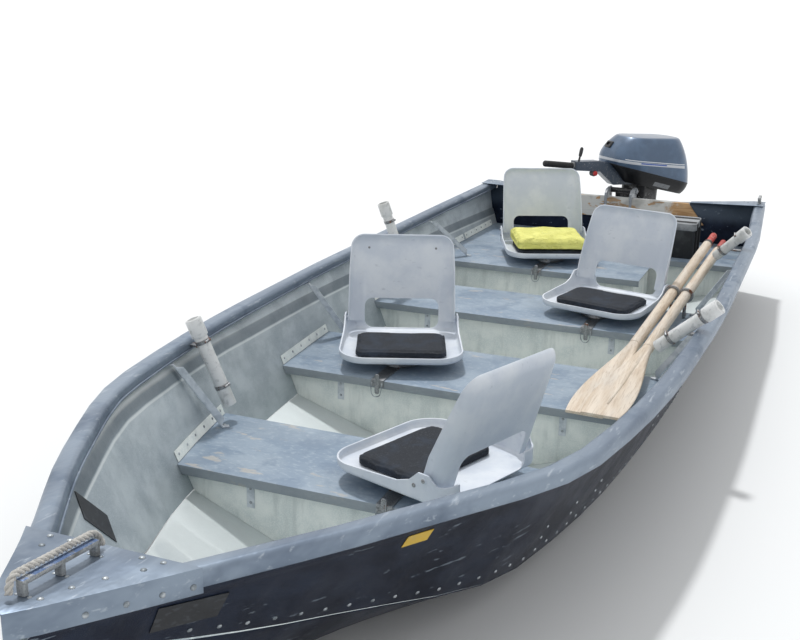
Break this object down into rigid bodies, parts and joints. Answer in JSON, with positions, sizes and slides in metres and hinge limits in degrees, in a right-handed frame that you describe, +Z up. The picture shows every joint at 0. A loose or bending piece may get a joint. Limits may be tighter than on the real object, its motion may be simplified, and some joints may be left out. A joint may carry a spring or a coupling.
{
  "type": "open aluminium motorboat",
  "caption": "Open riveted aluminium skiff with bench seats, swivelling folding chairs, stowed oars, rod tubes and a tiller outboard that tilts and steers.",
  "frame": {"origin": "on the centreline, amidships, at the waterline", "axes": "+X to the bow, +Y to port, +Z up"},
  "size_m": [5.2279, 1.5893, 1.1406],
  "materials": {
    "hull_inside": "weathered bare sheet with speckled grey-green primer",
    "rail_metal": "brushed and dented, dull",
    "bench_blue": "worn blue-grey paint",
    "cast_metal": "rough casting",
    "steel": "dull with some rust",
    "board": "bare plywood",
    "rope": "braided white rope",
    "pipe_white": "white plastic pipe",
    "box_black": "moulded plastic",
    "oar_wood": "pale varnished wood",
    "seat_plastic": "moulded grey plastic",
    "pad_vinyl": "charcoal vinyl",
    "cushion_yellow": "yellow waterproof cloth",
    "motor_black": "black paint",
    "motor_metal": "grey paint",
    "cowl_paint": "glossy metallic blue-grey",
    "grip_rubber": "ribbed black rubber"
  },
  "bodies": {
    "hull": {"bottom_plate": "hull_inside", "side_port": "hull_inside", "side_starboard": "hull_inside", "transom": "hull_inside", "transom_pads": "board", "keel_strip": "hull_inside", "gunwale_port": "rail_metal", "gunwale_starboard": "rail_metal", "bow_deck": "rail_metal", "corner_plates": "rail_metal", "bow_handle": "cast_metal", "bow_rope": "rope", "bench_tops": "bench_blue", "bench_boxes": "hull_inside", "braces": "hull_inside", "rod_holders": "pipe_white", "tube_clamps": "steel", "stern_cleat": "cast_metal", "battery_box": "box_black", "oars": "oar_wood", "oarlocks": "steel", "seat_bases": "steel", "motor_clamp": "motor_metal"},
    "seat_1": {"seat_pan_1": "seat_plastic", "seat_pad_1": "pad_vinyl"},
    "back_1": {"seat_back_1": "seat_plastic"},
    "seat_2": {"seat_pan_2": "seat_plastic", "seat_pad_2": "pad_vinyl"},
    "back_2": {"seat_back_2": "seat_plastic"},
    "seat_3": {"seat_pan_3": "seat_plastic", "seat_pad_3": "pad_vinyl"},
    "back_3": {"seat_back_3": "seat_plastic"},
    "seat_4": {"seat_pan_4": "seat_plastic", "seat_pad_4": "pad_vinyl", "cushion": "cushion_yellow"},
    "back_4": {"seat_back_4": "seat_plastic"},
    "tilt_bracket": {"swivel_bracket": "motor_black"},
    "motor": {"leg": "motor_black", "gearcase": "motor_black", "lower_pan": "motor_black", "powerhead": "motor_metal", "cowl": "cowl_paint", "tiller_arm": "motor_metal", "tiller_grip": "grip_rubber", "shift_lever": "motor_black"},
    "screw": {"propeller": "motor_black"}
  },
  "joints": [
    {"name": "seat_1_swivel", "type": "hinge", "parent": "hull", "child": "seat_1", "pos_m": [0.883, 0.112, 0.2], "axis": [0, 0, 1], "continuous": true},
    {"name": "seat_1_fold", "type": "hinge", "parent": "seat_1", "child": "back_1", "pos_m": [0.9514, 0.29994, 0.305], "axis": [0.9397, -0.342, 0], "range_deg": [0, 100]},
    {"name": "seat_2_swivel", "type": "hinge", "parent": "hull", "child": "seat_2", "pos_m": [0.051, -0.279, 0.2], "axis": [0, 0, 1], "continuous": true},
    {"name": "seat_2_fold", "type": "hinge", "parent": "seat_2", "child": "back_2", "pos_m": [-0.13444, -0.35392, 0.305], "axis": [-0.3746, 0.9272, 0], "range_deg": [0, 100]},
    {"name": "seat_3_swivel", "type": "hinge", "parent": "hull", "child": "seat_3", "pos_m": [-0.845, 0.232, 0.2], "axis": [0, 0, 1], "range_deg": [0, 180]},
    {"name": "seat_3_fold", "type": "hinge", "parent": "seat_3", "child": "back_3", "pos_m": [-1.03987, 0.27699, 0.305], "axis": [0.225, 0.9744, 0], "range_deg": [0, 100]},
    {"name": "seat_4_swivel", "type": "hinge", "parent": "hull", "child": "seat_4", "pos_m": [-1.59, -0.178, 0.225], "axis": [0, 0, 1], "continuous": true},
    {"name": "seat_4_fold", "type": "hinge", "parent": "seat_4", "child": "back_4", "pos_m": [-1.77126, -0.26252, 0.33], "axis": [-0.4226, 0.9063, 0], "range_deg": [0, 100]},
    {"name": "tilt", "type": "hinge", "parent": "hull", "child": "tilt_bracket", "pos_m": [-2.42, 0, 0.448], "axis": [0, 1, 0], "range_deg": [0, 65]},
    {"name": "steering", "type": "hinge", "parent": "tilt_bracket", "child": "motor", "pos_m": [-2.54, 0, 0.3], "axis": [0, 0, 1], "range_deg": [-2, 88]},
    {"name": "propeller_spin", "type": "hinge", "parent": "motor", "child": "screw", "pos_m": [-2.76087, 0.20596, -0.258], "axis": [0.7314, -0.682, 0], "continuous": true}
  ]
}
